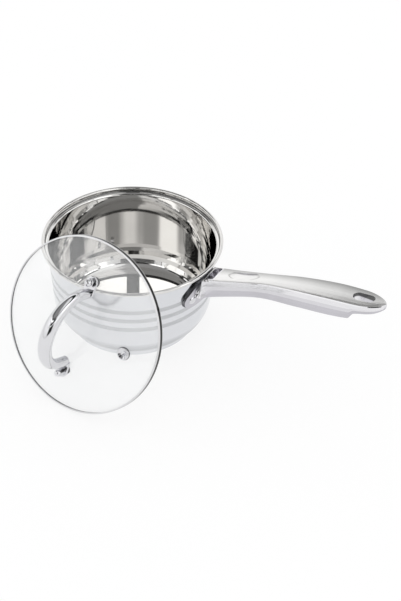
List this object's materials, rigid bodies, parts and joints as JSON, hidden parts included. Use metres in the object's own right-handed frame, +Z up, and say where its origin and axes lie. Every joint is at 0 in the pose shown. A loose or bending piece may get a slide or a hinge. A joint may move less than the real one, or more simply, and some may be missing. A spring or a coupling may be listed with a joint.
{
  "type": "saucepan with lid",
  "caption": "Polished steel saucepan with a riveted hollow handle and a domed glass lid that stands on its edge beside it.",
  "frame": {"origin": "centre of the underside of the pan's base", "axes": "+Z up along the pan's axis, +X along the long handle, the lid stands on the -Y side"},
  "size_m": [0.355, 0.2645, 0.1551],
  "materials": {
    "polished_steel": "mirror polished",
    "satin_steel": "satin",
    "core": "plain",
    "glass": "clear",
    "gasket": "matte"
  },
  "bodies": {
    "pan": {"pan_body": "polished_steel", "base_core": "core", "base_cup": "polished_steel", "handle": "satin_steel", "rivet_near": "polished_steel", "rivet_far": "polished_steel"},
    "lid": {"lid_glass": "glass", "lid_band": "polished_steel", "vent_eyelet": "polished_steel", "vent_gasket": "gasket", "lid_handle": "polished_steel", "bolt_upper": "polished_steel", "bolt_lower": "polished_steel", "cap_nut_upper": "polished_steel", "cap_nut_lower": "polished_steel", "washer_upper": "polished_steel", "washer_lower": "polished_steel", "outer_gasket_upper": "gasket", "outer_gasket_lower": "gasket", "inner_gasket_upper": "gasket", "inner_gasket_lower": "gasket"}
  },
  "joints": [
    {"name": "lid_lift", "type": "slide", "parent": "pan", "child": "lid", "axis": [0, 0, 1], "range_m": [0, 0.15]}
  ]
}
